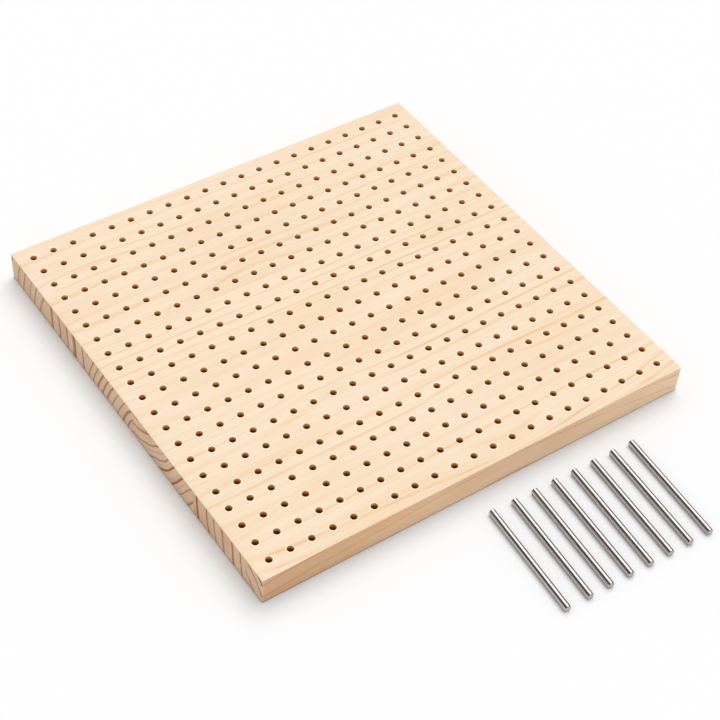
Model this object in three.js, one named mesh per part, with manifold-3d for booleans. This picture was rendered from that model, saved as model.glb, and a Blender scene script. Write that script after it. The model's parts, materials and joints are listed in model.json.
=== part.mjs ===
// Blocking board: a square pine panel drilled with a grid of blind holes, and its set of loose
// steel pins. Damp knitted or crocheted squares are stretched over pins stood in the holes.
// The panel is glued up edge to edge from staves that run along X, and the pins lie in a row
// in front of it, on the surface that the panel rests on.
//
// Millimetres, +Z up. The origin is the centre of the panel's underside, -Y is the front.

import * as THREE from "three";
import { mergeGeometries, mergeVertices } from "three/addons/utils/BufferGeometryUtils.js";
import Module from "manifold-3d";

// Panel
const holePitch = 12.7;
const edgeMargin = 9.8; // from the outer holes' centres to the panel's edge
const panelThickness = 18;
const edgeEase = 0.4; // rounding of the arrises round the top and the underside
const cornerRadius = 0.8; // rounding of the four upright corners
const rowsPerStave = [1, 4, 5, 4, 4, 3]; // rows of holes in each stave, front to back

// Pins
const pinCount = 8;
const pinDiameter = 4;
const pinLength = 70;
const pinEase = 0.3; // chamfer round each end

// Fit of a pin in its hole
const pinClearance = 0.1; // on the diameter: a pin slides in by hand and stands upright
const holeFloor = 6; // wood left under each hole

// Where the pins lie
const pinGap = 15.6; // from the panel's front face to the near ends of the pins
const pinSpacing = 13.2;
const firstPinExtra = 1.3; // the first pin lies this much further from its neighbour
const firstPinX = -5.5; // the first pin's near end, from the panel's centre line
const pinSkew = 4.1; // degrees that the pins lie off square to the panel
const rowSkew = 1.2; // degrees that the row of pins' ends lies off parallel to the panel

// Facets
const boreSides = 8;
const pinSides = 12;
const easeSteps = 2;
const cornerSteps = 3;

// Colours
const pineColour = 0xf6dcba;
const steelColour = 0xc4c5c8;

// Values that follow from the sizes above
const holesPerSide = rowsPerStave.reduce((sum, rows) => sum + rows, 0);
const gridSpan = (holesPerSide - 1) * holePitch;
const panelSide = gridSpan + 2 * edgeMargin;
const boreDiameter = pinDiameter + pinClearance;
const holeDepth = panelThickness - holeFloor;
const pinRadius = pinDiameter / 2;
const overrun = 1; // how far a cutting solid runs past what it cuts

const wasm = await Module();
wasm.setup();

// A closed geometry as a solid that can be cut: its positions alone, with shared corners merged.
function solidOf(geometry) {
  const bare = geometry.clone();
  bare.deleteAttribute("normal");
  bare.deleteAttribute("uv");
  const merged = mergeVertices(bare);
  return new wasm.Manifold(
    new wasm.Mesh({
      numProp: 3,
      vertProperties: merged.attributes.position.array,
      triVerts: new Uint32Array(merged.index.array),
    }),
  );
}

// A cut solid as a geometry with flat-shaded faces.
function geometryOf(solid) {
  const mesh = solid.getMesh();
  const indexed = new THREE.BufferGeometry();
  indexed.setAttribute("position", new THREE.BufferAttribute(mesh.vertProperties, 3));
  indexed.setIndex(new THREE.BufferAttribute(mesh.triVerts, 1));
  const faceted = indexed.toNonIndexed();
  faceted.computeVertexNormals();
  return faceted;
}

// The outline of a square centred on the origin, with rounded corners.
function roundedSquare(side, radius) {
  const half = side / 2;
  const inner = half - radius;
  const outline = new THREE.Shape();
  outline.moveTo(-inner, -half);
  outline.lineTo(inner, -half);
  outline.absarc(inner, -inner, radius, -Math.PI / 2, 0);
  outline.lineTo(half, inner);
  outline.absarc(inner, inner, radius, 0, Math.PI / 2);
  outline.lineTo(-inner, half);
  outline.absarc(-inner, inner, radius, Math.PI / 2, Math.PI);
  outline.lineTo(-half, -inner);
  outline.absarc(-inner, -inner, radius, Math.PI, 1.5 * Math.PI);
  return outline;
}

// The whole panel before it is drilled: a square slab with every arris eased.
function panelBlank() {
  const geometry = new THREE.ExtrudeGeometry(roundedSquare(panelSide, cornerRadius), {
    depth: panelThickness - 2 * edgeEase,
    curveSegments: cornerSteps,
    bevelThickness: edgeEase,
    bevelSize: edgeEase,
    bevelOffset: -edgeEase,
    bevelSegments: easeSteps,
  });
  geometry.translate(0, 0, edgeEase);
  return solidOf(geometry);
}

// The place of a hole, counted from the front left hole of the grid.
function holeCentre(column, row) {
  return [column * holePitch - gridSpan / 2, row * holePitch - gridSpan / 2];
}

// The round hole as a prism whose flats touch the drilled circle, so that a round pin goes in.
function drillGeometry() {
  const cornerDistance = boreDiameter / 2 / Math.cos(Math.PI / boreSides);
  const corners = [];
  for (let side = 0; side < boreSides; side++) {
    const angle = ((side + 0.5) * 2 * Math.PI) / boreSides;
    corners.push(new THREE.Vector2(Math.cos(angle), Math.sin(angle)).multiplyScalar(cornerDistance));
  }
  const geometry = new THREE.ExtrudeGeometry(new THREE.Shape(corners), {
    depth: holeDepth + overrun,
    bevelEnabled: false,
  });
  geometry.translate(0, 0, holeFloor);
  return geometry;
}

// All the drilled holes of some rows of the grid, as one cutting solid.
function holesOf(firstRow, rows) {
  const drill = drillGeometry();
  const holes = [];
  for (let row = firstRow; row < firstRow + rows; row++) {
    for (let column = 0; column < holesPerSide; column++) {
      const [x, y] = holeCentre(column, row);
      holes.push(drill.clone().translate(x, y, 0));
    }
  }
  return solidOf(mergeGeometries(holes));
}

// The glue line in front of a row of holes lies midway between two rows, or is the panel's edge.
function glueLine(row) {
  if (row === 0) return -panelSide / 2;
  if (row === holesPerSide) return panelSide / 2;
  return holeCentre(0, row)[1] - holePitch / 2;
}

// One stave: the panel's length between two glue lines, with its own rows of holes.
function staveGeometry(blank, firstRow, rows) {
  const front = glueLine(firstRow);
  const back = glueLine(firstRow + rows);
  const slab = new THREE.BoxGeometry(
    panelSide + 2 * overrun,
    back - front,
    panelThickness + 2 * overrun,
  );
  slab.translate(0, (front + back) / 2, panelThickness / 2);
  return geometryOf(blank.intersect(solidOf(slab)).subtract(holesOf(firstRow, rows)));
}

// The drilled panel: its staves lie face to face along the glue lines.
function makePanel() {
  const panel = new THREE.Group();
  const blank = panelBlank();
  let firstRow = 0;
  rowsPerStave.forEach((rows, index) => {
    const tone = new THREE.Color(pineColour).offsetHSL(0, 0, 0.012 * ((index % 3) - 1));
    const material = new THREE.MeshStandardMaterial({ color: tone, roughness: 0.55, metalness: 0 });
    const stave = new THREE.Mesh(staveGeometry(blank, firstRow, rows), material);
    stave.name = `stave_${index + 1}`;
    panel.add(stave);
    firstRow += rows;
  });
  return panel;
}

// One pin, a plain rod with chamfered ends, from the origin along -Y.
function pinGeometry() {
  const profile = [
    new THREE.Vector2(0, 0),
    new THREE.Vector2(pinRadius - pinEase, 0),
    new THREE.Vector2(pinRadius, pinEase),
    new THREE.Vector2(pinRadius, pinLength - pinEase),
    new THREE.Vector2(pinRadius - pinEase, pinLength),
    new THREE.Vector2(0, pinLength),
  ];
  return new THREE.LatheGeometry(profile, pinSides).rotateX(Math.PI);
}

// The pins' near end in the row: even steps, after a slightly wider first one.
function pinStart(index) {
  return index === 0 ? 0 : firstPinExtra + index * pinSpacing;
}

// The set of pins, lying side by side in front of the panel on the surface it rests on.
function makePins() {
  const row = new THREE.Group();
  row.position.set(firstPinX, -panelSide / 2 - pinGap, pinRadius);
  row.rotation.z = THREE.MathUtils.degToRad(-rowSkew);
  for (let index = 0; index < pinCount; index++) {
    const material = new THREE.MeshStandardMaterial({
      color: steelColour,
      roughness: 0.25,
      metalness: 1,
    });
    const pin = new THREE.Mesh(pinGeometry(), material);
    pin.name = `pin_${index + 1}`;
    pin.position.x = pinStart(index);
    pin.rotation.z = THREE.MathUtils.degToRad(rowSkew - pinSkew);
    row.add(pin);
  }
  return row;
}

const blockingBoard = new THREE.Group();
blockingBoard.add(makePanel(), makePins());

export default blockingBoard;
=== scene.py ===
"""Blocking board: a drilled pine panel and its set of loose steel pins, dressed for close views.

The panel is six staves glued edge to edge. Each stave is a mesh with round, eased, blind holes and a
pine finish whose growth rings run through the solid, so that the rings on the end grain carry on as
streaks along the faces. The pins are drawn steel rods with chamfered, sawn ends. Meshes are made in
metres and finishes in millimetres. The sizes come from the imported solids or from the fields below.
"""

import json
import logging
import math
from dataclasses import dataclass, field
from enum import Enum
from typing import Union

import bmesh
import bpy
from mathutils import Color, Matrix, Vector

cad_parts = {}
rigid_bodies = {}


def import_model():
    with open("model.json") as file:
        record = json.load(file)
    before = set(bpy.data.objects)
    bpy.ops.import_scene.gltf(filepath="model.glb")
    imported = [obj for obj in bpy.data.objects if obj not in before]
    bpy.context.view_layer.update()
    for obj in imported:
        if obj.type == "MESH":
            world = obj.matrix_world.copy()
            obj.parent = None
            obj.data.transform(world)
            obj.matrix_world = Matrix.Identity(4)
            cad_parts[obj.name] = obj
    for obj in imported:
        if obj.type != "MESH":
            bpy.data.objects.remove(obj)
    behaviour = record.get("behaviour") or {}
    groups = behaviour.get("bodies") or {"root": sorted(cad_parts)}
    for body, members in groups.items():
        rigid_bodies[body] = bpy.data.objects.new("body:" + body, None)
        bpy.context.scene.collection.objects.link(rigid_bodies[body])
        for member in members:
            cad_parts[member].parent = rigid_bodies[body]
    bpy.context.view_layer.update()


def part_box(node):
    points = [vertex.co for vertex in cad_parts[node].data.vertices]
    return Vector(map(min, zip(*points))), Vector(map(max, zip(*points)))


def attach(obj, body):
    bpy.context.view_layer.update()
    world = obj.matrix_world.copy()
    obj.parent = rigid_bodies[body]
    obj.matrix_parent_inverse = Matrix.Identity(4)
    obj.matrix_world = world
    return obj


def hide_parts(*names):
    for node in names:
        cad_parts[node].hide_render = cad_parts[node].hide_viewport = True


MM = 0.001
SHADES = 255
PHOTO_SIDE_PX = 720
SENSOR_MM = 36.0

log = logging.getLogger("blocking_board")

Pair = tuple[float, float]
Point = tuple[float, float, float]
RimPoint = tuple[float, float, float, float]
Colour = tuple[float, float, float]
Socket = bpy.types.NodeSocket
Value = Union[Socket, float, Colour]
Sockets = dict[str, Socket]


def tone(red: int, green: int, blue: int) -> Colour:
    """Turn a colour as a screen shows it, 0 to 255, into the linear numbers that shaders take.

    Args:
        red: Red as shown.
        green: Green as shown.
        blue: Blue as shown.

    Returns:
        The linear colour.
    """
    shown = Color((red / SHADES, green / SHADES, blue / SHADES))
    return tuple(shown.from_srgb_to_scene_linear())


def grey(level: float) -> Colour:
    """Give a neutral colour of a linear level."""
    return (level, level, level)


def circle(count: int) -> list[Pair]:
    """Give the cosine and sine of each of so many even steps round a circle."""
    angles = [2 * math.pi * step / count for step in range(count)]
    return [(math.cos(angle), math.sin(angle)) for angle in angles]


def quarter_round(radius: float, steps: int) -> list[Pair]:
    """Give the section of a rounded arris, from the face above it down to the side.

    Args:
        radius: The arris's radius.
        steps: How many flats it has.

    Returns:
        For each corner, its distance inside the side and below the face.
    """
    angles = [step / steps * math.pi / 2 for step in range(steps + 1)]
    return [(radius * (1 - math.sin(angle)), radius * (1 - math.cos(angle))) for angle in angles]


class WoodCut(Enum):
    """How a face of a stave cuts the grain."""

    FACE = "face"
    EDGE = "edge"
    END = "end"
    BORE = "bore"
    MOUTH = "mouth"


class Graph:
    """A node tree being drawn up, with short calls for its nodes, values and links."""

    COLOUR_MIX_INPUTS = (0, 6, 7)  # the share and the two colours, past the sockets of other kinds
    COLOUR_MIX_RESULT = 2

    def __init__(self, tree: bpy.types.NodeTree) -> None:
        """Take a material's, world's or group's tree to add to."""
        self.tree = tree

    def node(self, kind: str, **settings: object) -> bpy.types.Node:
        """Add a node.

        Args:
            kind: The node's class name.
            settings: Properties to set on it.

        Returns:
            The new node.
        """
        made = self.tree.nodes.new(kind)
        for name, value in settings.items():
            setattr(made, name, value)
        return made

    def feed(self, socket: Socket, value: Value) -> None:
        """Link another socket to an input, or set its plain value.

        Args:
            socket: The input.
            value: The socket to link, or the value to set.
        """
        if isinstance(value, bpy.types.NodeSocket):
            self.tree.links.new(value, socket)
        elif isinstance(value, tuple) and socket.type == "RGBA":
            socket.default_value = (*value, 1.0)
        else:
            socket.default_value = value

    def millimetres(self) -> Socket:
        """Give the object's own coordinates in millimetres.

        Returns:
            The place of each point.
        """
        coordinates = self.node("ShaderNodeTexCoord")
        scaled = self.node("ShaderNodeVectorMath", operation="SCALE")
        self.feed(scaled.inputs[0], coordinates.outputs["Object"])
        self.feed(scaled.inputs["Scale"], 1 / MM)
        return scaled.outputs[0]

    def maths(self, operation: str, *values: Value, clamp: bool = False) -> Socket:
        """Add a Math node.

        Args:
            operation: Its operation.
            values: Its inputs, numbers or sockets.
            clamp: Whether the result is held between 0 and 1.

        Returns:
            The result.
        """
        made = self.node("ShaderNodeMath", operation=operation, use_clamp=clamp)
        for socket, value in zip(made.inputs, values):
            self.feed(socket, value)
        return made.outputs[0]

    def step(self, value: Socket, start: Value, end: Value, low: Value = 0.0, high: Value = 1.0) -> Socket:
        """Ease from low to high as a value goes from start to end.

        Args:
            value: The value that drives the step.
            start: Where the step begins.
            end: Where it ends.
            low: The result before the step.
            high: The result after it.

        Returns:
            The eased value.
        """
        made = self.node("ShaderNodeMapRange", interpolation_type="SMOOTHSTEP")
        for socket, number in zip(made.inputs, (value, start, end, low, high)):
            self.feed(socket, number)
        return made.outputs[0]

    def noise(
        self,
        vector: Socket,
        scale: Value = 1.0,
        detail: float = 2.0,
        roughness: float = 0.5,
        coloured: bool = False,
    ) -> Socket:
        """Add a Noise texture.

        Args:
            vector: Where it is read.
            scale: Its scale.
            detail: Its octaves.
            roughness: How much each finer octave counts.
            coloured: Whether it gives three numbers that change apart, as a colour.

        Returns:
            Its value or values, about 0.5 on average.
        """
        made = self.node("ShaderNodeTexNoise")
        settings = {"Vector": vector, "Scale": scale, "Detail": detail, "Roughness": roughness}
        for name, value in settings.items():
            self.feed(made.inputs[name], value)
        return made.outputs["Color"] if coloured else made.outputs[0]

    def vector(self, x: Value, y: Value, z: Value) -> Socket:
        """Make a vector.

        Args:
            x: Its first value.
            y: Its second value.
            z: Its third value.

        Returns:
            The vector.
        """
        made = self.node("ShaderNodeCombineXYZ")
        for socket, value in zip(made.inputs, (x, y, z)):
            self.feed(socket, value)
        return made.outputs[0]

    def split(self, vector: Socket) -> tuple[Socket, Socket, Socket]:
        """Split a vector into its three values.

        Args:
            vector: The vector or colour.

        Returns:
            Its values.
        """
        made = self.node("ShaderNodeSeparateXYZ")
        self.feed(made.inputs[0], vector)
        return made.outputs[0], made.outputs[1], made.outputs[2]

    def blend(self, share: Value, first: Value, second: Value, how: str = "MIX") -> Socket:
        """Mix two colours.

        Args:
            share: How much of the second shows.
            first: The colour at 0.
            second: The colour at 1.
            how: The blend type.

        Returns:
            The mixed colour.
        """
        made = self.node("ShaderNodeMix", data_type="RGBA", blend_type=how)
        for index, value in zip(self.COLOUR_MIX_INPUTS, (share, first, second)):
            self.feed(made.inputs[index], value)
        return made.outputs[self.COLOUR_MIX_RESULT]

    def bump(self, height: Socket, strength: float, distance: float) -> Socket:
        """Turn a height into a shading normal.

        Args:
            height: The height, 0 to 1.
            strength: How strongly it shows.
            distance: The height in metres of a value of 1.

        Returns:
            The normal.
        """
        made = self.node("ShaderNodeBump")
        for name, value in {"Strength": strength, "Distance": distance, "Height": height}.items():
            self.feed(made.inputs[name], value)
        return made.outputs[0]

    def place(self, group: bpy.types.NodeTree, **values: Value) -> Sockets:
        """Add a copy of a node group.

        Args:
            group: The group.
            values: Its inputs, by name with underscores for spaces.

        Returns:
            Its outputs by name.
        """
        made = self.node("ShaderNodeGroup", node_tree=group)
        for name, value in values.items():
            self.feed(made.inputs[name.replace("_", " ")], value)
        return {socket.name: socket for socket in made.outputs}


def new_group(
    name: str, inputs: dict[str, float], outputs: tuple[str, ...]
) -> tuple[Graph, Sockets, Sockets]:
    """Start a node group that reads a place in millimetres.

    Args:
        name: The group's name.
        inputs: Its number inputs and their usual values.
        outputs: Its number outputs.

    Returns:
        The group's graph, its inputs by name, and what its outputs are fed to by name.
    """
    tree = bpy.data.node_groups.new(name, "ShaderNodeTree")
    tree.interface.new_socket(name="Place", in_out="INPUT", socket_type="NodeSocketVector")
    for label, usual in inputs.items():
        socket = tree.interface.new_socket(name=label, in_out="INPUT", socket_type="NodeSocketFloat")
        socket.default_value = usual
    for label in outputs:
        tree.interface.new_socket(name=label, in_out="OUTPUT", socket_type="NodeSocketFloat")
    graph = Graph(tree)
    given = graph.node("NodeGroupInput").outputs
    wanted = graph.node("NodeGroupOutput").inputs
    return graph, {socket.name: socket for socket in given}, {socket.name: socket for socket in wanted}


@dataclass(frozen=True)
class GrowthRings:
    """Growth rings round a pith that runs along X, outside or inside the stave.

    The group's inputs are in millimetres, with the pith's place given at the left end. Latewood is 1 on
    the dark line that closes each year, Year is a random number that stays the same through each ring,
    Streak is the finer come and go of the growth within a ring, and Patch is a slow drift of tone.
    """

    sway_along: float = 0.0095
    sway_across: float = 0.035
    sway_detail: float = 3.0
    knot_length: float = 32.0
    knot_width: float = 9.0
    knot_core: float = 9.0
    knot_darkness: float = 0.05
    unevenness: float = 1.1
    unevenness_scale: float = 0.9
    line_start: float = 0.95
    line_darkest: float = 0.92
    streaks_per_mm: float = 0.75
    streak_drift: float = 0.006
    streak_detail: float = 3.0
    streak_roughness: float = 0.65

    def build(self) -> bpy.types.NodeTree:
        """Build the group.

        Returns:
            The group.
        """
        inputs = {
            "Pith Y": 0.0,
            "Pith Z": 0.0,
            "Drift": 0.0,
            "Bow": 0.0,
            "Half Length": 137.0,
            "Ring Width": 7.0,
            "Wander": 2.0,
            "Line Share": 0.2,
            "Line Fade": 0.05,
            "Knot X": 0.0,
            "Knot Y": 0.0,
            "Knot Pull": 0.0,
            "Seed": 0.0,
        }
        graph, given, wanted = new_group("growth_rings", inputs, ("Latewood", "Year", "Streak", "Patch"))
        x, _, _ = graph.split(given["Place"])
        sway_y, sway_z, patch = self.sways(graph, given)
        pushed, darker = self.swelling(graph, given)
        radius = graph.maths("ADD", self.from_pith(graph, given, sway_y, sway_z), pushed)
        age = self.age(graph, given, radius)
        within = graph.maths("FRACT", age)
        start = graph.maths("SUBTRACT", self.line_start, given["Line Share"])
        climb = graph.step(within, start, self.line_darkest)
        fade = graph.maths("SUBTRACT", 1.0, given["Line Fade"])
        close = graph.step(within, fade, 1.0, 1.0, 0.0)
        year = graph.node("ShaderNodeTexWhiteNoise", noise_dimensions="1D")
        graph.feed(year.inputs["W"], graph.maths("ADD", graph.maths("FLOOR", age), given["Seed"]))
        out = graph.maths("MULTIPLY", radius, self.streaks_per_mm)
        thin = graph.vector(out, given["Seed"], graph.maths("MULTIPLY", x, self.streak_drift))
        streak = graph.noise(thin, detail=self.streak_detail, roughness=self.streak_roughness)
        graph.feed(wanted["Latewood"], graph.maths("MULTIPLY", climb, close))
        graph.feed(wanted["Year"], year.outputs["Value"])
        graph.feed(wanted["Streak"], streak)
        graph.feed(wanted["Patch"], graph.maths("ADD", patch, darker))
        return graph.tree

    def sways(self, graph: Graph, given: Sockets) -> tuple[Socket, Socket, Socket]:
        """Draw the slow wander of a trunk, drawn out along X.

        Args:
            graph: The group's graph.
            given: The group's inputs.

        Returns:
            Three numbers about 0.5 that change slowly and apart.
        """
        x, y, z = graph.split(given["Place"])
        slow = graph.vector(
            graph.maths("MULTIPLY_ADD", x, self.sway_along, given["Seed"]),
            graph.maths("MULTIPLY", y, self.sway_across),
            graph.maths("MULTIPLY", z, self.sway_across),
        )
        return graph.split(graph.noise(slow, detail=self.sway_detail, coloured=True))

    def swelling(self, graph: Graph, given: Sockets) -> tuple[Socket, Socket]:
        """Push the rings aside round the place where a knot lies near the face, and darken it there.

        Args:
            graph: The group's graph.
            given: The group's inputs.

        Returns:
            How far the rings are pushed, in millimetres, and how much darker the wood is.
        """
        x, y, _ = graph.split(given["Place"])
        aside = graph.maths("DIVIDE", graph.maths("SUBTRACT", x, given["Knot X"]), self.knot_length)
        across = graph.maths("DIVIDE", graph.maths("SUBTRACT", y, given["Knot Y"]), self.knot_width)
        apart = graph.maths("MULTIPLY_ADD", aside, aside, graph.maths("MULTIPLY", across, across))
        fall = graph.maths("EXPONENT", graph.maths("MULTIPLY", apart, -1.0))
        core = graph.maths("EXPONENT", graph.maths("MULTIPLY", apart, -self.knot_core))
        strength = graph.maths("MULTIPLY", graph.maths("ABSOLUTE", given["Knot Pull"]), self.knot_darkness)
        return graph.maths("MULTIPLY", fall, given["Knot Pull"]), graph.maths("MULTIPLY", core, strength)

    def from_pith(self, graph: Graph, given: Sockets, sway_y: Socket, sway_z: Socket) -> Socket:
        """Measure the distance from the pith, which drifts, bows and sways along the stave.

        Args:
            graph: The group's graph.
            given: The group's inputs.
            sway_y: Its sway across the stave, about 0.5.
            sway_z: Its sway up and down, about 0.5.

        Returns:
            The distance in millimetres.
        """
        x, y, z = graph.split(given["Place"])
        along = graph.maths("ADD", x, given["Half Length"])
        share = graph.maths("DIVIDE", x, given["Half Length"])
        arch = graph.maths("SUBTRACT", 1.0, graph.maths("MULTIPLY", share, share))
        pith_y = graph.maths("MULTIPLY_ADD", along, given["Drift"], given["Pith Y"])
        pith_z = graph.maths("MULTIPLY_ADD", arch, given["Bow"], given["Pith Z"])
        squares = []
        for place, pith, sway in ((y, pith_y, sway_y), (z, pith_z, sway_z)):
            swayed = graph.maths("MULTIPLY", graph.maths("SUBTRACT", sway, 0.5), given["Wander"])
            apart = graph.maths("ADD", graph.maths("SUBTRACT", place, pith), swayed)
            squares.append(graph.maths("MULTIPLY", apart, apart))
        return graph.maths("SQRT", graph.maths("ADD", *squares))

    def age(self, graph: Graph, given: Sockets, radius: Socket) -> Socket:
        """Count the years out to a distance from the pith, some of them fat and some lean.

        Args:
            graph: The group's graph.
            given: The group's inputs.
            radius: The distance from the pith.

        Returns:
            The years.
        """
        years = graph.maths("DIVIDE", radius, given["Ring Width"])
        uneven = graph.noise(graph.vector(years, given["Seed"], 0.0), self.unevenness_scale, detail=1.0)
        return graph.maths("MULTIPLY_ADD", uneven, self.unevenness, years)


@dataclass(frozen=True)
class DrawnOutMarks:
    """Fine marks drawn out along X: wood fibres on a stave, drawing marks on a rod.

    Fine and Broad are numbers about 0.5. Fineness is how many marks lie in a millimetre, and Length is
    about a mark's length in millimetres.
    """

    detail: float = 3.0
    roughness: float = 0.6
    broad_along: float = 0.5
    broad_across: float = 0.14

    def build(self) -> bpy.types.NodeTree:
        """Build the group.

        Returns:
            The group.
        """
        inputs = {"Fineness": 2.0, "Length": 40.0, "Seed": 0.0}
        graph, given, wanted = new_group("drawn_out_marks", inputs, ("Fine", "Broad"))
        x, y, z = graph.split(given["Place"])
        along = graph.maths("ADD", graph.maths("DIVIDE", x, given["Length"]), given["Seed"])
        side = graph.maths("MULTIPLY", y, given["Fineness"])
        height = graph.maths("MULTIPLY", z, given["Fineness"])
        fine = graph.noise(graph.vector(along, side, height), detail=self.detail, roughness=self.roughness)
        coarse = graph.vector(
            graph.maths("MULTIPLY", along, self.broad_along),
            graph.maths("MULTIPLY", side, self.broad_across),
            graph.maths("MULTIPLY", height, self.broad_across),
        )
        graph.feed(wanted["Fine"], fine)
        graph.feed(wanted["Broad"], graph.noise(coarse))
        return graph.tree


@dataclass(frozen=True)
class HandlingMarks:
    """Marks of handling: Dull is a soft smudge mask, and Speck is sparse fine dots."""

    smudge_levels: Pair = (0.42, 0.68)
    speck_levels: Pair = (0.72, 0.8)

    def build(self) -> bpy.types.NodeTree:
        """Build the group.

        Returns:
            The group.
        """
        inputs = {"Smudge Size": 60.0, "Speck Size": 1.5}
        graph, given, wanted = new_group("handling_marks", inputs, ("Dull", "Speck"))
        smudge = graph.noise(given["Place"], graph.maths("DIVIDE", 1.0, given["Smudge Size"]))
        speck = graph.noise(given["Place"], graph.maths("DIVIDE", 1.0, given["Speck Size"]), detail=1.0)
        graph.feed(wanted["Dull"], graph.step(smudge, *self.smudge_levels))
        graph.feed(wanted["Speck"], graph.step(speck, *self.speck_levels))
        return graph.tree


class EffectLibrary:
    """The node groups that several finishes share, each built once."""

    def __init__(self) -> None:
        """Build every group."""
        self.rings = GrowthRings().build()
        self.fibres = DrawnOutMarks().build()
        self.handling = HandlingMarks().build()


def new_material(name: str) -> tuple[bpy.types.Material, Graph, bpy.types.Node]:
    """Start a material.

    Args:
        name: Its name.

    Returns:
        The material, its graph and its Principled shader.
    """
    material = bpy.data.materials.new(name)
    material.use_nodes = True
    return material, Graph(material.node_tree), material.node_tree.nodes["Principled BSDF"]


@dataclass(frozen=True)
class CutLook:
    """How one cut of the wood looks: its spring growth, the dark line of each year, and its surface."""

    spring: Colour
    line: Colour
    line_strength: float
    line_share: float  # how much of a year's growth the line takes
    line_fade: float  # how much of a year its outer border takes
    mottle: float  # how much the fibres vary its lightness
    roughness: float
    faintest: float = 0.25  # the weakest line, as a share of the strongest
    broken: float = 0.3  # what is left of a line where the fibres break it
    streaks: float = 0.34  # how strongly the fine streaks show
    gloss: float = 0.3
    thrown: float = 0.0  # how grey the light is that it throws, from 0 to 1


CUT_LOOKS = {
    WoodCut.FACE: CutLook(
        spring=tone(250, 228, 202),
        line=tone(239, 189, 125),
        line_strength=0.95,
        line_share=0.44,
        line_fade=0.16,
        mottle=0.045,
        roughness=0.52,
    ),
    WoodCut.EDGE: CutLook(
        spring=tone(249, 213, 174),
        line=tone(220, 134, 22),
        line_strength=0.55,
        line_share=0.14,
        line_fade=0.05,
        mottle=0.05,
        roughness=0.55,
        faintest=0.8,
        broken=0.5,
        streaks=0.14,
        thrown=0.65,
    ),
    WoodCut.END: CutLook(
        spring=tone(227, 196, 167),
        line=tone(158, 80, 0),
        line_strength=1.0,
        line_share=0.27,
        line_fade=0.05,
        mottle=0.09,
        roughness=0.7,
        faintest=0.7,
        broken=1.0,
        gloss=0.1,
        thrown=0.3,
    ),
    # The bore's wood is drawn darker and more orange than the other cuts: painted shade of the hole.
    WoodCut.BORE: CutLook(
        spring=tone(243, 171, 88),
        line=tone(214, 140, 62),
        line_strength=0.5,
        line_share=0.3,
        line_fade=0.05,
        mottle=0.1,
        roughness=0.75,
    ),
    # The mouth's cream, paler than the face, is a painted highlight round each hole.
    WoodCut.MOUTH: CutLook(
        spring=tone(255, 250, 232),
        line=tone(255, 242, 214),
        line_strength=0.3,
        line_share=0.3,
        line_fade=0.05,
        mottle=0.02,
        roughness=0.5,
    ),
}


@dataclass(frozen=True)
class BoreDepthShade:
    """Painted light and shade down a hole's wall: paler than the wood at its mouth, darker with depth."""

    # painted light: the top of the wall is paler than the wood
    painted_mouth_light: Colour = tone(255, 217, 152)
    painted_mouth_light_depths: Pair = (0.5, 1.4)
    # painted shade: the wall darkens with depth
    painted_deep_shade: Colour = tone(154, 93, 36)
    painted_deep_shade_depths: Pair = (1.3, 3.2)

    def lay(self, graph: Graph, depth: Socket, colour: Socket) -> Socket:
        """Paint the wall paler at its mouth and shaded deeper down.

        Args:
            graph: The material's graph.
            depth: The depth below the drilled face, in millimetres.
            colour: The wood's own colour.

        Returns:
            The colour with the painted light and shade.
        """
        upper = graph.blend(graph.step(depth, *self.painted_mouth_light_depths), self.painted_mouth_light, colour)
        return graph.blend(graph.step(depth, *self.painted_deep_shade_depths), upper, self.painted_deep_shade)


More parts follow.
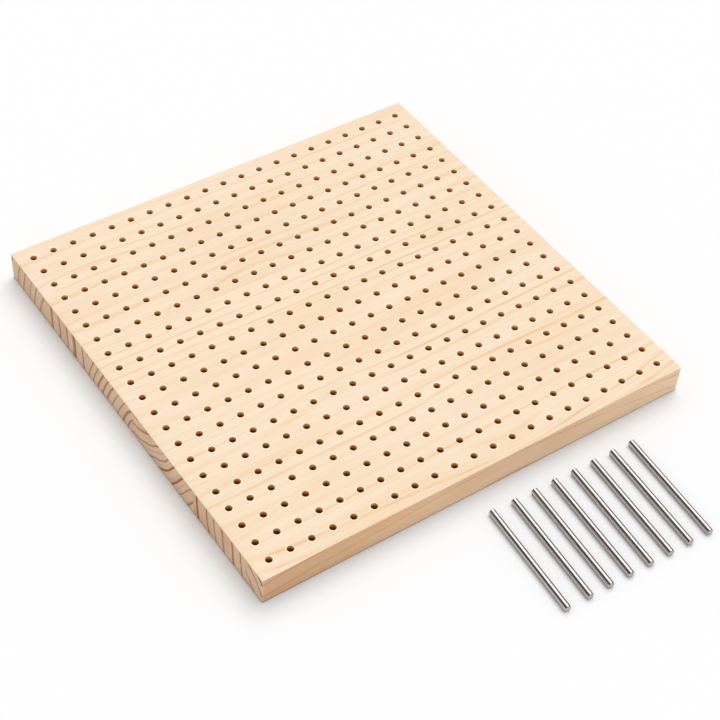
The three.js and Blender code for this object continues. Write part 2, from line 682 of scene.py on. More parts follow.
@dataclass(frozen=True)
class SideLightAndShade:
    """Painted shade and light on the panel's sides, and the grey of the light they throw. Heights and lengths
    are in millimetres.
    """

    # painted shade along the lower arris, where the side meets the floor
    contact_shade: Colour = tone(122, 92, 72)
    contact_shade_share: float = 0.85
    contact_shade_heights: Pair = (0.2, 1.2)
    # painted shade on the left end of the front edge
    end_shade: Colour = tone(214, 193, 167)
    end_shade_reach: float = 0.1  # how far right of the middle it ends, in half lengths
    # painted highlight: the corner keeps less of the painted shade
    corner_highlight_length: float = 1.4
    corner_highlight_share: float = 0.4
    # painted light on the right end of the front edge
    painted_right_light: Colour = tone(255, 236, 208)
    painted_light_start: float = 0.45  # in half lengths right of the middle
    painted_light_share: float = 0.3
    thrown: Colour = tone(212, 206, 202)

    def paint_contact_shade(self, graph: Graph, height: Socket, colour: Socket) -> Socket:
        """Paint shade on a side along its lower arris, next to the floor.

        Args:
            graph: The material's graph.
            height: The height above the underside.
            colour: The wood's own colour.

        Returns:
            The colour with the painted shade.
        """
        return graph.blend(graph.step(height, *self.contact_shade_heights, self.contact_shade_share, 0.0), colour, self.contact_shade)

    def paint_edge_light_and_shade(self, graph: Graph, along: Socket, half: float, strength: float, colour: Socket) -> Socket:
        """Paint shade on the left end of the front edge, a highlight on its corner, and light on its right
        end.

        Args:
            graph: The material's graph.
            along: The place along the edge, from its middle.
            half: Half the edge's length.
            strength: How dark the painted shade is, from 0 to 1.
            colour: The wood's own colour.

        Returns:
            The colour with the painted shade and light.
        """
        end_shade = graph.step(along, -half, self.end_shade_reach * half, strength, 0.0)
        # painted highlight on the corner
        painted_light_and_shade = graph.step(along, -half, self.corner_highlight_length - half, self.corner_highlight_share, 1.0)
        painted_end_shade = graph.blend(graph.maths("MULTIPLY", end_shade, painted_light_and_shade), colour, self.end_shade, how="MULTIPLY")
        # painted light towards the right end
        painted_right_light = graph.step(along, self.painted_light_start * half, half, 0.0, self.painted_light_share * strength)
        return graph.blend(painted_right_light, painted_end_shade, self.painted_right_light)

    def throw(self, graph: Graph, share: float, colour: Socket) -> Socket:
        """Grey the light that a side throws on the floor and the steel, which the lamp is balanced for.

        Args:
            graph: The material's graph.
            share: How grey it is, from 0 to 1.
            colour: The side's colour, which is what the eye sees.

        Returns:
            The colour for every ray.
        """
        path = graph.node("ShaderNodeLightPath")
        indirect = graph.maths("ADD", path.outputs["Is Diffuse Ray"], path.outputs["Is Glossy Ray"])
        return graph.blend(graph.maths("MULTIPLY", indirect, share), colour, self.thrown)


@dataclass(frozen=True)
class Plank:
    """Where a stave was sawn from its log, in millimetres, and what sets its wood apart."""

    across: float  # from the stave's back border forwards to the pith
    up: float  # from the underside up to the pith
    ring_width: float
    wander: float
    drift: float = 0.0  # how far back the pith moves in each millimetre to the right
    bow: float = 0.0  # how far the pith rises by the middle of the stave
    knot: Pair = (0.0, 0.0)  # where a hidden knot lies, in x and y
    knot_pull: float = 0.0  # how far the knot pushes the rings in towards the pith
    contrast: float = 1.0  # how strongly the rings show
    painted_end_shade: float = 0.0  # how dark the painted shade is at the left end of its front edge, from 0 to 1


@dataclass(frozen=True)
class PineFinish:
    """Sanded, unvarnished pine of one stave, in millimetres."""

    stave: int
    plank: Plank
    back: float
    half_length: float
    top: float
    bore_shade: BoreDepthShade = BoreDepthShade()
    side_light: SideLightAndShade = SideLightAndShade()
    seed_step: float = 7.3
    fibres_per_mm: float = 2.2
    fibre_length: float = 32.0
    smudge_size: float = 70.0
    speck_size: float = 1.1
    break_levels: Pair = (0.36, 0.62)
    streak_levels: Pair = (0.48, 0.78)
    patch_levels: Pair = (0.42, 0.78)
    patch_share: float = 0.22
    shade_levels: Pair = (0.2, 0.8)
    speck_share: float = 0.05
    dullness: float = 0.08
    line_polish: float = -0.06
    line_relief: float = 0.5
    bump_strength: float = 0.35
    bump_height: float = 0.05

    def material(self, cut: WoodCut, effects: EffectLibrary) -> bpy.types.Material:
        """Make the material for one cut of this stave.

        Args:
            cut: How the face cuts the grain.
            effects: The shared node groups.

        Returns:
            The material.
        """
        look = CUT_LOOKS[cut]
        material, graph, shader = new_material(f"pine_{self.stave}_{cut.value}")
        place = graph.millimetres()
        fibres = graph.place(
            effects.fibres,
            Place=place,
            Fineness=self.fibres_per_mm,
            Length=self.fibre_length,
            Seed=float(self.stave),
        )
        handling = graph.place(
            effects.handling,
            Place=place,
            Smudge_Size=self.smudge_size,
            Speck_Size=self.speck_size,
        )
        line, patch = self.grain(look, graph, place, effects, fibres["Broad"])
        colour = graph.blend(patch, look.spring, look.line)
        colour = graph.blend(line, colour, look.line)
        colour = self.painted_light_and_shade(cut, graph, place, colour)
        shade = graph.step(fibres["Fine"], *self.shade_levels, 1 - look.mottle, 1 + look.mottle)
        colour = graph.blend(1.0, colour, graph.vector(shade, shade, shade), how="MULTIPLY")
        speck = graph.maths("MULTIPLY", handling["Speck"], self.speck_share)
        graph.feed(shader.inputs["Base Color"], graph.blend(speck, colour, look.line))
        least = look.roughness - self.dullness / 2
        rough = graph.maths("MULTIPLY_ADD", handling["Dull"], self.dullness, least)
        graph.feed(shader.inputs["Roughness"], graph.maths("MULTIPLY_ADD", line, self.line_polish, rough))
        relief = graph.maths("MULTIPLY_ADD", line, self.line_relief, fibres["Fine"])
        graph.feed(shader.inputs["Normal"], graph.bump(relief, self.bump_strength, self.bump_height * MM))
        shader.inputs["Specular IOR Level"].default_value = look.gloss
        return material

    def grain(
        self, look: CutLook, graph: Graph, place: Socket, effects: EffectLibrary, breaks: Socket
    ) -> tuple[Socket, Socket]:
        """Draw the rings of this stave's plank as one cut shows them.

        Args:
            look: The cut's look.
            graph: The material's graph.
            place: The place in millimetres.
            effects: The shared node groups.
            breaks: Where the fibres break the lines, about 0.5.

        Returns:
            How strongly the dark lines and streaks show, and how strongly the slow patches do.
        """
        plank = self.plank
        rings = graph.place(
            effects.rings,
            Place=place,
            Pith_Y=self.back - plank.across,
            Pith_Z=plank.up,
            Drift=plank.drift,
            Bow=plank.bow,
            Half_Length=self.half_length,
            Ring_Width=plank.ring_width,
            Wander=plank.wander,
            Line_Share=look.line_share,
            Line_Fade=look.line_fade,
            Knot_X=plank.knot[0],
            Knot_Y=plank.knot[1],
            Knot_Pull=plank.knot_pull,
            Seed=self.stave * self.seed_step,
        )
        line = graph.maths("MULTIPLY_ADD", rings["Year"], 1 - look.faintest, look.faintest)
        line = graph.maths("MULTIPLY", line, rings["Latewood"])
        line = graph.maths("MULTIPLY", line, graph.step(breaks, *self.break_levels, look.broken, 1.0))
        line = graph.maths("MULTIPLY", line, look.line_strength * plank.contrast, clamp=True)
        thin = graph.step(rings["Streak"], *self.streak_levels, 0.0, look.streaks * plank.contrast)
        patch = graph.step(rings["Patch"], *self.patch_levels, 0.0, self.patch_share)
        return graph.maths("MAXIMUM", line, thin), patch

    def painted_light_and_shade(self, cut: WoodCut, graph: Graph, place: Socket, colour: Socket) -> Socket:
        """Lay on a cut's painted light and shade, and grey the light that its sides throw.

        Args:
            cut: How the face cuts the grain.
            graph: The material's graph.
            place: The place in millimetres.
            colour: The wood's own colour.

        Returns:
            The changed colour.
        """
        along, _, height = graph.split(place)
        if cut is WoodCut.BORE:
            # painted light and shade down the hole's wall
            return self.bore_shade.lay(graph, graph.maths("SUBTRACT", self.top, height), colour)
        if cut not in (WoodCut.EDGE, WoodCut.END):
            return colour
        # painted shade along the lower arris of the sides
        colour = self.side_light.paint_contact_shade(graph, height, colour)
        # painted shade and light along the front edge
        if cut is WoodCut.EDGE and self.plank.painted_end_shade > 0.0:
            colour = self.side_light.paint_edge_light_and_shade(graph, along, self.half_length, self.plank.painted_end_shade, colour)
        return self.side_light.throw(graph, CUT_LOOKS[cut].thrown, colour)


@dataclass(frozen=True)
class SteelFinish:
    """Bright drawn stainless rod, and its ends sawn and tumbled matt. Lengths are in millimetres."""

    rod_light: Colour = tone(208, 204, 201)
    rod_dark: Colour = tone(190, 184, 180)
    marks_per_mm: float = 5.0
    mark_length: float = 25.0
    mark_seed: float = 3.0
    rod_roughness: float = 0.13
    rod_dullness: float = 0.05
    mark_roughness: float = 0.08
    pit_depth: float = -0.4
    rod_bump: Pair = (0.15, 0.01)
    rod_smudge: float = 14.0
    rod_speck: float = 0.5
    end_light: Colour = tone(208, 200, 195)
    end_dark: Colour = tone(186, 176, 171)
    end_marks_per_mm: float = 6.0
    end_roughness: float = 0.45
    end_dullness: float = 0.1
    end_bump: Pair = (0.3, 0.03)
    end_smudge: float = 3.0
    end_speck: float = 0.4
    end_metal: float = 0.1

    def rod(self, effects: EffectLibrary) -> bpy.types.Material:
        """Make the material of the rod's side.

        Args:
            effects: The shared node groups.

        Returns:
            The material.
        """
        material, graph, shader = new_material("drawn_steel")
        place = graph.millimetres()
        marks = graph.place(
            effects.fibres,
            Place=place,
            Fineness=self.marks_per_mm,
            Length=self.mark_length,
            Seed=self.mark_seed,
        )
        handling = graph.place(
            effects.handling,
            Place=place,
            Smudge_Size=self.rod_smudge,
            Speck_Size=self.rod_speck,
        )
        graph.feed(shader.inputs["Base Color"], graph.blend(marks["Broad"], self.rod_light, self.rod_dark))
        rough = graph.maths("MULTIPLY_ADD", handling["Dull"], self.rod_dullness, self.rod_roughness)
        rough = graph.maths("MULTIPLY_ADD", marks["Fine"], self.mark_roughness, rough)
        graph.feed(shader.inputs["Roughness"], rough)
        height = graph.maths("MULTIPLY_ADD", handling["Speck"], self.pit_depth, marks["Fine"])
        strength, distance = self.rod_bump
        graph.feed(shader.inputs["Normal"], graph.bump(height, strength, distance * MM))
        shader.inputs["Metallic"].default_value = 1.0
        return material

    def end(self, effects: EffectLibrary) -> bpy.types.Material:
        """Make the material of the rod's ends, with round saw marks.

        Args:
            effects: The shared node groups.

        Returns:
            The material.
        """
        material, graph, shader = new_material("sawn_steel_end")
        place = graph.millimetres()
        handling = graph.place(
            effects.handling,
            Place=place,
            Smudge_Size=self.end_smudge,
            Speck_Size=self.end_speck,
        )
        _, y, z = graph.split(place)
        squares = graph.maths("MULTIPLY_ADD", y, y, graph.maths("MULTIPLY", z, z))
        out = graph.maths("MULTIPLY", graph.maths("SQRT", squares), self.end_marks_per_mm)
        turned = graph.noise(graph.vector(out, 0.0, 0.0))
        graph.feed(shader.inputs["Base Color"], graph.blend(turned, self.end_light, self.end_dark))
        rough = graph.maths("MULTIPLY_ADD", handling["Dull"], self.end_dullness, self.end_roughness)
        graph.feed(shader.inputs["Roughness"], rough)
        strength, distance = self.end_bump
        graph.feed(shader.inputs["Normal"], graph.bump(turned, strength, distance * MM))
        shader.inputs["Metallic"].default_value = self.end_metal
        return material


class Weld:
    """A mesh being built from corners, with corners at the same place shared."""

    SHARED_PER_METRE = 1e7

    def __init__(self) -> None:
        """Start an empty mesh."""
        self.mesh = bmesh.new()
        self.corners: dict[tuple[int, ...], bmesh.types.BMVert] = {}

    def corner(self, place: Point) -> bmesh.types.BMVert:
        """Give the corner at a place, made if it isn't there.

        Args:
            place: The place, which counts to a tenth of a micrometre.

        Returns:
            The corner.
        """
        key = tuple(round(value * self.SHARED_PER_METRE) for value in place)
        if key not in self.corners:
            self.corners[key] = self.mesh.verts.new(place)
        return self.corners[key]

    def face(self, places: list[Point], slot: int = 0) -> None:
        """Add a face, unless its corners fall together.

        Args:
            places: Its corners' places, anticlockwise from outside.
            slot: Its material slot.
        """
        ring = []
        for place in places:
            corner = self.corner(place)
            if not ring or corner is not ring[-1]:
                ring.append(corner)
        if ring[0] is ring[-1]:
            ring.pop()
        if len(ring) < 3:
            return
        made = self.mesh.faces.new(ring)
        made.material_index = slot
        made.smooth = True

    def band(self, first: list[Point], second: list[Point], slot: int) -> None:
        """Add the faces between two closed rings of as many corners.

        Args:
            first: One ring, whose order turns the faces outwards.
            second: The next ring, in the same order.
            slot: Their material slot.
        """
        for step in range(len(first)):
            after = (step + 1) % len(first)
            self.face([first[step], first[after], second[after], second[step]], slot)

    def finish(self, name: str, materials: list[bpy.types.Material], crease: float) -> bpy.types.Object:
        """Turn the mesh into an object of the scene.

        Args:
            name: The object's name.
            materials: Its materials, by slot.
            crease: Edges sharper than this many degrees stay sharp in shading.

        Returns:
            The object.
        """
        data = bpy.data.meshes.new(name)
        self.mesh.to_mesh(data)
        self.mesh.free()
        for material in materials:
            data.materials.append(material)
        data.set_sharp_from_angle(angle=math.radians(crease))
        made = bpy.data.objects.new(name, data)
        bpy.context.collection.objects.link(made)
        return made


@dataclass(frozen=True)
class HoleGrid:
    """The grid of blind holes, in metres."""

    per_side: int = 21
    pitch: float = 12.7 * MM
    bore: float = 4.1 * MM
    floor: float = 6.0 * MM
    mouth_ease: float = 0.12 * MM
    mouth_steps: int = 3
    # the flat band round the mouth, in the mouth's cream: a painted highlight
    painted_highlight_rim: float = 0.38 * MM
    floor_fillet: float = 0.3 * MM
    segments: int = 24

    def place(self, index: int) -> float:
        """Give a row's or column's place across the panel."""
        return (index - (self.per_side - 1) / 2) * self.pitch

    def borders(self, indexes: list[int]) -> list[float]:
        """Give the borders of the cells round some neighbouring rows or columns."""
        half = self.pitch / 2
        return [self.place(index) - half for index in indexes] + [self.place(indexes[-1]) + half]

    def rows_between(self, front: float, back: float) -> list[int]:
        """List the rows of holes whose centres lie between two places."""
        return [row for row in range(self.per_side) if front < self.place(row) < back]

    def mouth(self, top: float) -> list[Pair]:
        """Give the rings of the painted highlight rim and the eased mouth, from outside inwards.

        Args:
            top: The height of the drilled face.

        Returns:
            The radius and height of each ring.
        """
        radius = self.bore / 2
        eased = [(radius + out, top - down) for out, down in quarter_round(self.mouth_ease, self.mouth_steps)]
        return [(radius + self.mouth_ease + self.painted_highlight_rim, top)] + eased

    def bottom(self) -> list[Pair]:
        """Give the radius and height of the fillet at the hole's floor, downwards."""
        radius = self.bore / 2
        return [(radius, self.floor + self.floor_fillet), (radius - self.floor_fillet, self.floor)]


@dataclass
class Stave:
    """One stave of the panel: its drilled face, eased arrises, glue faces and end grain."""

    number: int
    finish: PineFinish
    grid: HoleGrid
    panel_half: float
    ease: float = 0.4 * MM
    ease_steps: int = 4
    face_share: float = 1 / 6  # how much of the arris's height still looks like the face
    edge_share: float = 0.9  # and how much of it cuts the grain aslant
    corner: float = 0.8 * MM
    corner_steps: int = 6
    crease: float = 40.0
    slots: tuple[WoodCut, ...] = tuple(WoodCut)
    node: str = field(init=False)
    front: float = field(init=False)
    back: float = field(init=False)
    top: float = field(init=False)
    along: list[float] = field(init=False)
    across: list[float] = field(init=False)

    def __post_init__(self) -> None:
        """Read the stave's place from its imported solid, and lay out its holes' cells."""
        self.node = f"stave_{self.number}"
        low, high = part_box(self.node)
        self.front, self.back, self.top = low.y, high.y, high.z
        self.along = self.grid.borders(list(range(self.grid.per_side)))
        self.across = self.grid.borders(self.grid.rows_between(self.front, self.back))

    @property
    def at_front(self) -> bool:
        """Whether the stave holds the panel's front edge."""
        return abs(self.front + self.panel_half) < self.grid.pitch / 4

    @property
    def at_back(self) -> bool:
        """Whether the stave holds the panel's back edge."""
        return abs(self.back - self.panel_half) < self.grid.pitch / 4

    def slot(self, cut: WoodCut) -> int:
        """Give the material slot of a cut."""
        return self.slots.index(cut)

    def side_section(self) -> list[Pair]:
        """Give the section of the side with its eased arrises, from the drilled face down.

        Returns:
            For each corner of the section, its distance inside the outline and its height.
        """
        arris = quarter_round(self.ease, self.ease_steps)
        upper = [(inside, self.top - drop) for inside, drop in arris]
        return upper + [(inside, drop) for inside, drop in reversed(arris)]

    def turn(self, centre_x: float, centre_y: float, start: float) -> list[RimPoint]:
        """Give the outline's points round one upright corner of the panel.

        Args:
            centre_x: The x of its centre.
            centre_y: The y of its centre.
            start: The direction of its first point, in degrees.

        Returns:
            Points with their outward directions: x, y, out x, out y, anticlockwise.
        """
        points = []
        for step in range(self.corner_steps + 1):
            angle = math.radians(start + 90 * step / self.corner_steps)
            out_x, out_y = math.cos(angle), math.sin(angle)
            points.append((centre_x + self.corner * out_x, centre_y + self.corner * out_y, out_x, out_y))
        return points

    def outline(self) -> list[list[RimPoint]]:
        """Give the stretches of the panel's outline that belong to this stave.

        Returns:
            For each stretch, points with their outward directions: x, y, out x, out y, anticlockwise.
        """
        half, inner = self.panel_half, self.panel_half - self.corner
        right = [(half, y, 1.0, 0.0) for y in self.across]
        left = [(-half, y, -1.0, 0.0) for y in reversed(self.across)]
        if self.at_front:
            edge = [(x, -half, 0.0, -1.0) for x in self.along]
            return [left + self.turn(-inner, -inner, 180) + edge + self.turn(inner, -inner, 270) + right]
        if self.at_back:
            edge = [(x, half, 0.0, 1.0) for x in reversed(self.along)]
            return [right + self.turn(inner, inner, 0) + edge + self.turn(-inner, inner, 90) + left]
        return [right, left]

    def build(self, materials: list[bpy.types.Material]) -> bpy.types.Object:
        """Build the stave's mesh.

        Args:
            materials: One material for each of the slots.

        Returns:
            The stave.
        """
        weld = Weld()
        for low, high in zip(self.across, self.across[1:]):
            for left, right in zip(self.along, self.along[1:]):
                self.drilled_cell(weld, left, right, low, high)
                under = [(left, low, 0.0), (left, high, 0.0), (right, high, 0.0), (right, low, 0.0)]
                weld.face(under, self.slot(WoodCut.FACE))
        for stretch in self.outline():
            self.eased_side(weld, stretch)
            self.margin(weld, stretch, self.top)
            self.margin(weld, stretch, 0.0)
        if not self.at_front:
            self.glue_face(weld, self.across[0], facing_front=True)
        if not self.at_back:
            self.glue_face(weld, self.across[-1], facing_front=False)
        return weld.finish(f"pine_{self.node}", materials, self.crease)

    def drilled_cell(self, weld: Weld, left: float, right: float, low: float, high: float) -> None:
        """Add the square of the drilled face round one hole, with the hole itself.

        Args:
            weld: The mesh.
            left: The cell's lowest x.
            right: Its highest x.
            low: Its lowest y.
            high: Its highest y.
        """
        centre_x, centre_y = (left + right) / 2, (low + high) / 2
        count = self.grid.segments
        quarter = count // 4
        mouth = self.grid.mouth(self.top)
        rings = []
        for radius, height in mouth + self.grid.bottom():
            rings.append([(centre_x + radius * x, centre_y + radius * y, height) for x, y in circle(count)])
        rim = rings[0]
        top = self.top
        corners = [(right, high, top), (left, high, top), (left, low, top), (right, low, top)]
        face, bore = self.slot(WoodCut.FACE), self.slot(WoodCut.BORE)
        for side, corner in enumerate(corners):
            for step in range(side * quarter, (side + 1) * quarter):
                weld.face([corner, rim[(step + 1) % count], rim[step]], face)
            weld.face([corner, corners[(side + 1) % 4], rim[(side + 1) * quarter % count]], face)
        for band, (upper, lower) in enumerate(zip(rings, rings[1:]), start=1):
            # the rim and the eased mouth take the cream of the painted highlight
            weld.band(upper, lower, self.slot(WoodCut.MOUTH) if band < len(mouth) else bore)
        middle = (centre_x, centre_y, self.grid.floor)
        for step in range(count):
            weld.face([rings[-1][step], rings[-1][(step + 1) % count], middle], bore)

    def cut_at(self, height: float, first: RimPoint, second: RimPoint) -> WoodCut:
        """Say how a band of the side cuts the grain: square, or aslant on the upper arris.

        Args:
            height: The height of the band's upper border.
            first: The outline's point where it begins.
            second: The point where it ends.

        Returns:
            The cut.
        """
        if height > self.top - self.face_share * self.ease:
            return WoodCut.FACE
        faces_along = abs(first[2] + second[2]) > abs(first[3] + second[3])
        below_arris = height <= self.top - self.edge_share * self.ease
        return WoodCut.END if faces_along and below_arris else WoodCut.EDGE

    def eased_side(self, weld: Weld, stretch: list[RimPoint]) -> None:
        """Add the upright side along a stretch of the outline, with its eased arrises.

        Args:
            weld: The mesh.
            stretch: Points of the outline with their outward directions.
        """
        section = self.side_section()
        for first, second in zip(stretch, stretch[1:]):
            for (inside, height), (below_inside, below) in zip(section, section[1:]):
                corners = [
                    self.at_level(first, inside, height),
                    self.at_level(first, below_inside, below),
                    self.at_level(second, below_inside, below),
                    self.at_level(second, inside, height),
                ]
                weld.face(corners, self.slot(self.cut_at(height, first, second)))

    @staticmethod
    def at_level(point: RimPoint, inside: float, height: float) -> Point:
        """Give the place a certain distance inside the outline, at a height."""
        return (point[0] - inside * point[2], point[1] - inside * point[3], height)

    def margin(self, weld: Weld, stretch: list[RimPoint], height: float) -> None:
        """Add the flat strip between the holes' cells and the eased arris.

        Args:
            weld: The mesh.
            stretch: Points of the outline with their outward directions.
            height: The height of the flat face.
        """
        for first, second in zip(stretch, stretch[1:]):
            corners = [self.at_level(first, self.ease, height), self.at_level(second, self.ease, height)]
            for point in (second, first):
                x = min(max(point[0], self.along[0]), self.along[-1])
                y = min(max(point[1], self.across[0]), self.across[-1])
                corners.append((x, y, height))
            if height < self.top:
                corners.reverse()
            weld.face(corners, self.slot(WoodCut.FACE))

    def glue_face(self, weld: Weld, y: float, facing_front: bool) -> None:
        """Add the flat face where this stave meets the next.

        Args:
            weld: The mesh.
            y: Where the face lies.
            facing_front: Whether it faces the front.
        """
        outlines = []
        for left, right in zip(self.along, self.along[1:]):
            outlines.append([(left, y, 0.0), (right, y, 0.0), (right, y, self.top), (left, y, self.top)])
        for side in (-1, 1):
            inner = self.along[0] if side < 0 else self.along[-1]
            outer = [(side * (self.panel_half - inside), y, height) for inside, height in self.side_section()]
            ring = [(inner, y, self.top)] + outer + [(inner, y, 0.0)]
            outlines.append(ring if side < 0 else ring[::-1])
        for ring in outlines:
            weld.face(ring if facing_front else ring[::-1], self.slot(WoodCut.EDGE))

    def dress(self, effects: EffectLibrary) -> bpy.types.Object:
        """Build the stave in its pine finish and put it in place of its solid.

        Args:
            effects: The shared node groups.

        Returns:
            The stave.
        """
        made = self.build([self.finish.material(cut, effects) for cut in self.slots])
        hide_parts(self.node)
        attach(made, "board")
        return made


@dataclass
class Panel:
    """The drilled panel: six staves glued edge to edge, front to back, each from another plank."""

    grid: HoleGrid = field(default_factory=HoleGrid)
    planks: tuple[Plank, ...] = (
        Plank(
            -26.0,
            -27.0,
            ring_width=7.2,
            wander=6.0,
            bow=9.0,
            knot=(27.0, -128.0),
            knot_pull=-4.5,
            # painted shade on the left end of this stave's front edge
            painted_end_shade=0.67,
        ),
        Plank(98.0, 18.0, ring_width=8.2, wander=4.5, drift=0.01, knot=(42.0, -81.0), knot_pull=-4.0),
        Plank(-3.0, 48.0, ring_width=6.9, wander=6.5, drift=0.03, knot=(-40.0, -50.0), knot_pull=5.0),
        Plank(122.0, -42.0, ring_width=5.1, wander=3.5, drift=-0.012),
        Plank(-90.0, 9.0, ring_width=9.4, wander=5.0, drift=0.008, knot=(-22.0, 60.0), knot_pull=5.0),
        Plank(
            134.0,
            -30.0,
            ring_width=7.2,
            wander=4.5,
            drift=-0.01,
            knot=(-104.0, 104.0),
            knot_pull=-5.0,
            contrast=0.68,
        ),
    )

    def dress(self, effects: EffectLibrary) -> list[bpy.types.Object]:
        """Build every stave.

        Args:
            effects: The shared node groups.

        Returns:
            The staves, front to back.
        """
        made = []
        for number, plank in enumerate(self.planks, start=1):
            _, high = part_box(f"stave_{number}")
            finish = PineFinish(number, plank, back=high.y / MM, half_length=high.x / MM, top=high.z / MM)
            made.append(Stave(number, finish, self.grid, panel_half=high.x).dress(effects))
        return made


@dataclass
class Pin:
    """One loose pin: a drawn steel rod with a small rounded chamfer at each end."""

    number: int
    chamfer: float = 0.3 * MM
    chamfer_steps: int = 3
    chamfer_bow: float = 0.084  # how far the chamfer bows out, as a share of its size
    waist: tuple[float, ...] = (0.25, 0.5, 0.75)  # where its side has a ring, as shares of its length
    segments: int = 64
    crease: float = 30.0
    node: str = field(init=False)
    start: Vector = field(init=False)
    direction: Vector = field(init=False)
    length: float = field(init=False)
    radius: float = field(init=False)

    def __post_init__(self) -> None:
        """Read the pin's axis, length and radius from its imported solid."""
        self.node = f"pin_{self.number}"
        corners = [vertex.co.copy() for vertex in self.solid().data.vertices]
        low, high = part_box(self.node)
        middle = (low + high) / 2
        front = [corner for corner in corners if corner.y < middle.y]
        back = [corner for corner in corners if corner.y >= middle.y]
        ends = [sum(half, Vector()) / len(half) for half in (front, back)]
        self.direction = (ends[0] - ends[1]).normalized()
        reach = [(corner - middle).dot(self.direction) for corner in corners]
        self.length = max(reach) - min(reach)
        self.start = middle + self.direction * min(reach)
        self.radius = (high.z - low.z) / 2

    def solid(self) -> bpy.types.Object:
        """Give the pin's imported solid."""
        return next(o for o in bpy.data.objects if o.name.split(".")[0] == self.node and o.type == "MESH")

    def profile(self) -> list[Pair]:
        """Give the rod's distance along and radius, from the rim of one end to the rim of the other.

        Returns:
            Pairs of distance and radius.
        """
        rim = []
        for step in range(self.chamfer_steps + 1):
            share = step / self.chamfer_steps
            bow = self.chamfer_bow * math.sin(math.pi * share)
            rim.append(((share - bow) * self.chamfer, self.radius - (1 - share - bow) * self.chamfer))
        far = [(self.length - along, radius) for along, radius in reversed(rim)]
        return rim + [(self.length * share, self.radius) for share in self.waist] + far

    def build(self, rod: bpy.types.Material, end: bpy.types.Material) -> bpy.types.Object:
        """Build the rod's mesh.

        Args:
            rod: The material of its side.
            end: The material of its ends.

        Returns:
            The rod, lying in its place.
        """
        weld = Weld()
        rings = []
        for along, radius in self.profile():
            rings.append([(along, radius * y, radius * z) for y, z in circle(self.segments)])
        for first, second in zip(rings, rings[1:]):
            weld.band(first, second, 0)
        for step in range(self.segments):
            after = (step + 1) % self.segments
            weld.face([rings[0][after], rings[0][step], (0.0, 0.0, 0.0)], 1)
            weld.face([rings[-1][step], rings[-1][after], (self.length, 0.0, 0.0)], 1)
        made = weld.finish(f"steel_{self.node}", [rod, end], self.crease)
        upwards = Vector((0, 0, 1))
        turn = Matrix((self.direction, upwards.cross(self.direction), upwards)).transposed().to_4x4()
        made.matrix_world = Matrix.Translation(self.start) @ turn
        return made

    def dress(self, rod: bpy.types.Material, end: bpy.types.Material) -> bpy.types.Object:
        """Build the pin in its steel finish and put it in place of its solid.

        Args:
            rod: The material of its side.
            end: The material of its ends.

        Returns:
            The pin.
        """
        made = self.build(rod, end)
        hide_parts(self.node)
        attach(made, self.node)
        return made


@dataclass
class PinSet:
    """The set of pins that lies beside the panel."""

    count: int = 8
    finish: SteelFinish = field(default_factory=SteelFinish)

    def dress(self, effects: EffectLibrary) -> list[bpy.types.Object]:
        """Build every pin.

        Args:
            effects: The shared node groups.

        Returns:
            The pins.
        """
        rod = self.finish.rod(effects)
        end = self.finish.end(effects)
        return [Pin(number).dress(rod, end) for number in range(1, self.count + 1)]


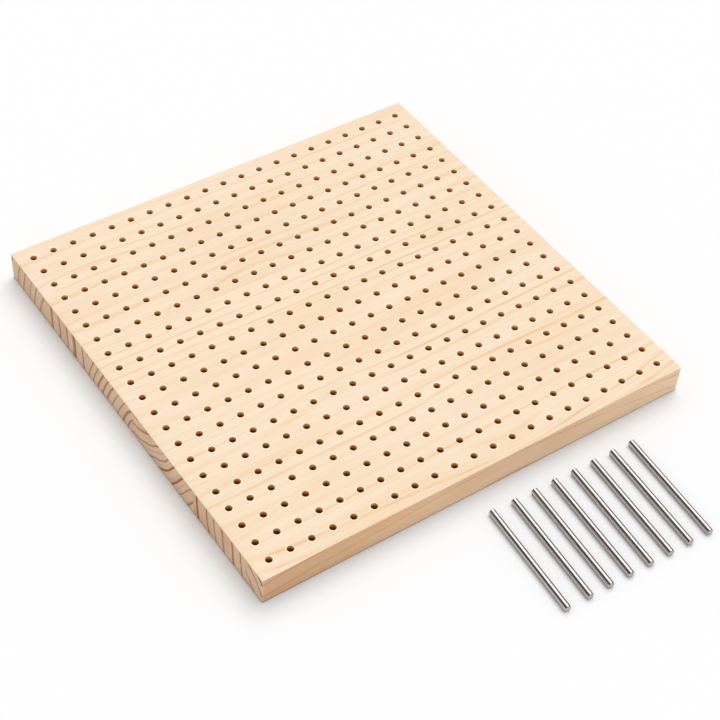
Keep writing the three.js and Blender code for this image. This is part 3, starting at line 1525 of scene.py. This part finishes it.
@dataclass
class Studio:
    """The pale floor, the soft overhead light and the camera.

    The camera's place is counted in hole pitches from the middle of the drilled face, and angles are in
    degrees. What is mirrored is what the steel shows, and what is thrown is the light that the floor and
    the room give back to other surfaces.
    """

    pitch: float = HoleGrid.pitch
    focal_px: float = 1729.0
    camera_from_top: Point = (-32.034, -44.127, 54.317)
    ahead: Point = (0.4150, 0.5490, -0.7255)
    right: Point = (0.8262, -0.5613, 0.0480)
    floor_half: float = 4.0
    floor_drop: float = 0.02 * MM
    floor_seen: Colour = (0.99, 0.99, 0.993)
    floor_mirrored: Colour = grey(0.9)
    floor_thrown: Colour = (0.30, 0.23, 0.20)
    key_level: float = 0.385
    key_width: float = 51.0
    key_tilt: float = 27.0
    key_heading: float = 38.0
    fill: Colour = grey(0.62)
    backdrop: Colour = grey(1.0)
    room_thrown: Colour = (0.68, 0.52, 0.44)
    room_mirrored: Colour = (0.10, 0.075, 0.06)
    far_floor_mirrored: Colour = (0.68, 0.64, 0.62)
    far_floor_heights: Pair = (0.05, 0.42)
    far_floor_sides: Pair = (-0.9, 0.3)
    far_floor_least: float = 0.1
    softbox_mirrored: Colour = grey(2.0)
    softbox_heights: Pair = (0.42, 0.74)
    softbox_sides: Pair = (-0.3, 0.08)

    def camera(self, top: float) -> bpy.types.Object:
        """Place the camera where the photograph was taken from.

        Args:
            top: The height of the panel's drilled face.

        Returns:
            The camera.
        """
        data = bpy.data.cameras.new("camera")
        data.sensor_width = SENSOR_MM
        data.lens = self.focal_px / PHOTO_SIDE_PX * SENSOR_MM
        made = bpy.data.objects.new("camera", data)
        bpy.context.collection.objects.link(made)
        back = -Vector(self.ahead).normalized()
        right = Vector(self.right)
        right = (right - back * right.dot(back)).normalized()
        place = Vector(self.camera_from_top) * self.pitch + Vector((0, 0, top))
        turn = Matrix((right, back.cross(right), back)).transposed().to_4x4()
        made.matrix_world = Matrix.Translation(place) @ turn
        bpy.context.scene.camera = made
        return made

    def floor(self) -> bpy.types.Object:
        """Lay the pale floor that the panel and pins rest on.

        Returns:
            The floor.
        """
        weld = Weld()
        corners = ((-1, -1), (1, -1), (1, 1), (-1, 1))
        weld.face([(x * self.floor_half, y * self.floor_half, -self.floor_drop) for x, y in corners])
        material, graph, shader = new_material("pale_floor")
        path = graph.node("ShaderNodeLightPath")
        indirect = graph.maths("MINIMUM", path.outputs["Diffuse Depth"], 1.0)
        mirrored = graph.blend(indirect, self.floor_mirrored, self.floor_thrown)
        colour = graph.blend(path.outputs["Is Glossy Ray"], self.floor_seen, mirrored)
        graph.feed(shader.inputs["Base Color"], colour)
        shader.inputs["Roughness"].default_value = 1.0
        shader.inputs["Specular IOR Level"].default_value = 0.0
        made = weld.finish("floor", [material], crease=30.0)
        return made

    def key(self) -> bpy.types.Object:
        """Hang the broad soft light nearly overhead, leaning to the panel's back right.

        Returns:
            The light.
        """
        tilt, heading = math.radians(self.key_tilt), math.radians(self.key_heading)
        data = bpy.data.lights.new("overhead_softbox", "SUN")
        data.energy = self.key_level * math.pi / math.cos(tilt)
        data.angle = math.radians(self.key_width)
        made = bpy.data.objects.new("overhead_softbox", data)
        bpy.context.collection.objects.link(made)
        sideways = Vector((math.cos(heading), math.sin(heading), 0)) * math.sin(tilt)
        source = sideways + Vector((0, 0, math.cos(tilt)))
        made.visible_glossy = False
        made.rotation_mode = "QUATERNION"
        made.rotation_quaternion = source.to_track_quat("Z", "Y")
        return made

    def room(self) -> bpy.types.World:
        """Fill the shadows evenly, with a white backdrop, and give the steel a studio to mirror.

        Returns:
            The world.
        """
        world = bpy.data.worlds.new("studio")
        bpy.context.scene.world = world
        world.use_nodes = True
        graph = Graph(world.node_tree)
        background = world.node_tree.nodes["Background"]
        path = graph.node("ShaderNodeLightPath")
        glossy = path.outputs["Is Glossy Ray"]
        direct = graph.maths("SUBTRACT", 1.0, path.outputs["Diffuse Depth"], clamp=True)
        thrown = graph.blend(glossy, self.fill, self.room_thrown)
        lit = graph.blend(graph.maths("MULTIPLY", glossy, direct), thrown, self.mirrored(graph))
        colour = graph.blend(path.outputs["Is Camera Ray"], lit, self.backdrop)
        graph.feed(background.inputs["Color"], colour)
        return world

    def mirrored(self, graph: Graph) -> Socket:
        """Draw what the steel mirrors: a broad softbox high on the right in a dim warm room.

        Args:
            graph: The world's graph.

        Returns:
            The colour by direction.
        """
        coordinates = graph.node("ShaderNodeTexCoord")
        x, _, z = graph.split(coordinates.outputs["Generated"])
        low = graph.step(z, *self.far_floor_heights, 1.0, 0.0)
        left = graph.step(x, *self.far_floor_sides, 1.0, self.far_floor_least)
        room = graph.blend(graph.maths("MULTIPLY", low, left), self.room_mirrored, self.far_floor_mirrored)
        across = graph.step(x, *self.softbox_sides)
        high = graph.step(z, *self.softbox_heights)
        softbox = graph.maths("MULTIPLY", across, high)
        return graph.blend(softbox, room, self.softbox_mirrored)

    def build(self, top: float) -> None:
        """Set up the whole studio.

        Args:
            top: The height of the panel's drilled face.
        """
        self.camera(top)
        self.floor()
        self.key()
        self.room()
        bpy.context.scene.view_settings.view_transform = "Standard"


def main() -> None:
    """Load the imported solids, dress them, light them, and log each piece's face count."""
    logging.basicConfig(level=logging.INFO, format="%(message)s")
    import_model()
    effects = EffectLibrary()
    _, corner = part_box("stave_1")
    Studio().build(corner.z)
    for piece in Panel().dress(effects) + PinSet().dress(effects):
        log.info("%s: %d faces", piece.name, len(piece.data.polygons))


if __name__ == "__main__":
    main()
